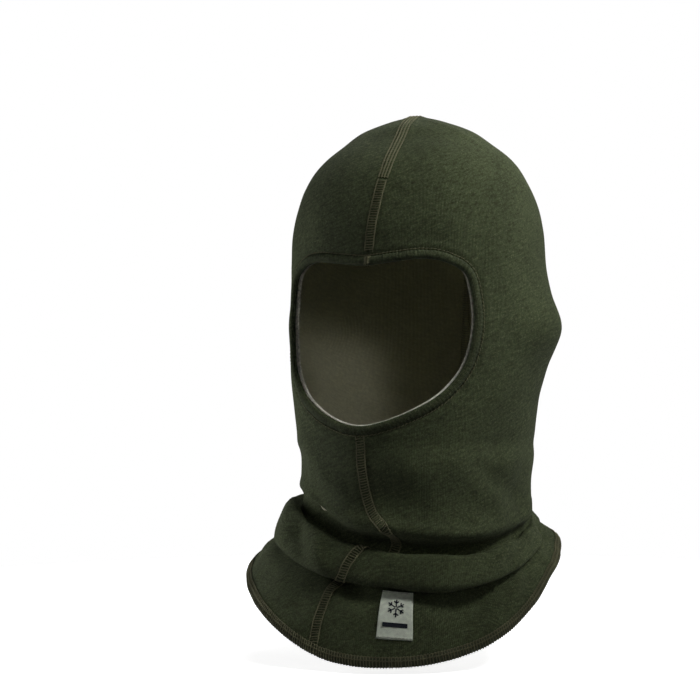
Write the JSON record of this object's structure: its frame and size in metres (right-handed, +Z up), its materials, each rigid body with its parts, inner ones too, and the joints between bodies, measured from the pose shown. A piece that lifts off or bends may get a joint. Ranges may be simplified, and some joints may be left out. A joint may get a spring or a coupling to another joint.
{
  "type": "balaclava",
  "caption": "Close-fitting two-layer knitted head, face and neck cover with a bound face opening, centre seams, a gathered neck and a flared overlocked hem.",
  "frame": {"origin": "highest point of the inside of the crown, where the top of the wearer's head meets the lining", "axes": "+Z up along the wearer's head, -Y the way the wearer looks, +X the wearer's left"},
  "size_m": [0.227, 0.2237, 0.3825],
  "materials": {
    "outer_panel_left": "matt dark green wool jersey",
    "outer_panel_right": "matt dark green wool jersey",
    "lining_panel_left": "matt cream wool jersey and thread",
    "lining_panel_right": "matt cream wool jersey and thread",
    "face_binding_left": "matt dark green wool jersey",
    "face_binding_right": "matt dark green wool jersey",
    "lining_binding_left": "matt cream wool jersey and thread",
    "lining_binding_right": "matt cream wool jersey and thread",
    "face_binding_stitch": "matt olive sewing thread",
    "lining_binding_stitch": "cream sewing thread",
    "forehead_seam": "matt olive sewing thread",
    "crown_nape_seam": "matt olive sewing thread",
    "chin_seam": "matt olive sewing thread",
    "lining_crown_seam": "cream flatlock thread",
    "lining_chin_seam": "cream flatlock thread",
    "hem_overlock": "matt olive sewing thread",
    "woven_label": null,
    "label_stitch_top": "off-white sewing thread",
    "label_stitch_bottom": "off-white sewing thread"
  },
  "bodies": {
    "root": {"outer_panel_left": "outer_panel_left", "outer_panel_right": "outer_panel_right", "lining_panel_left": "lining_panel_left", "lining_panel_right": "lining_panel_right", "face_binding_left": "face_binding_left", "face_binding_right": "face_binding_right", "lining_binding_left": "lining_binding_left", "lining_binding_right": "lining_binding_right", "face_binding_stitch": "face_binding_stitch", "lining_binding_stitch": "lining_binding_stitch", "forehead_seam": "forehead_seam", "crown_nape_seam": "crown_nape_seam", "chin_seam": "chin_seam", "lining_crown_seam": "lining_crown_seam", "lining_chin_seam": "lining_chin_seam", "hem_overlock": "hem_overlock", "woven_label": "woven_label", "label_stitch_top": "label_stitch_top", "label_stitch_bottom": "label_stitch_bottom"}
  },
  "joints": []
}
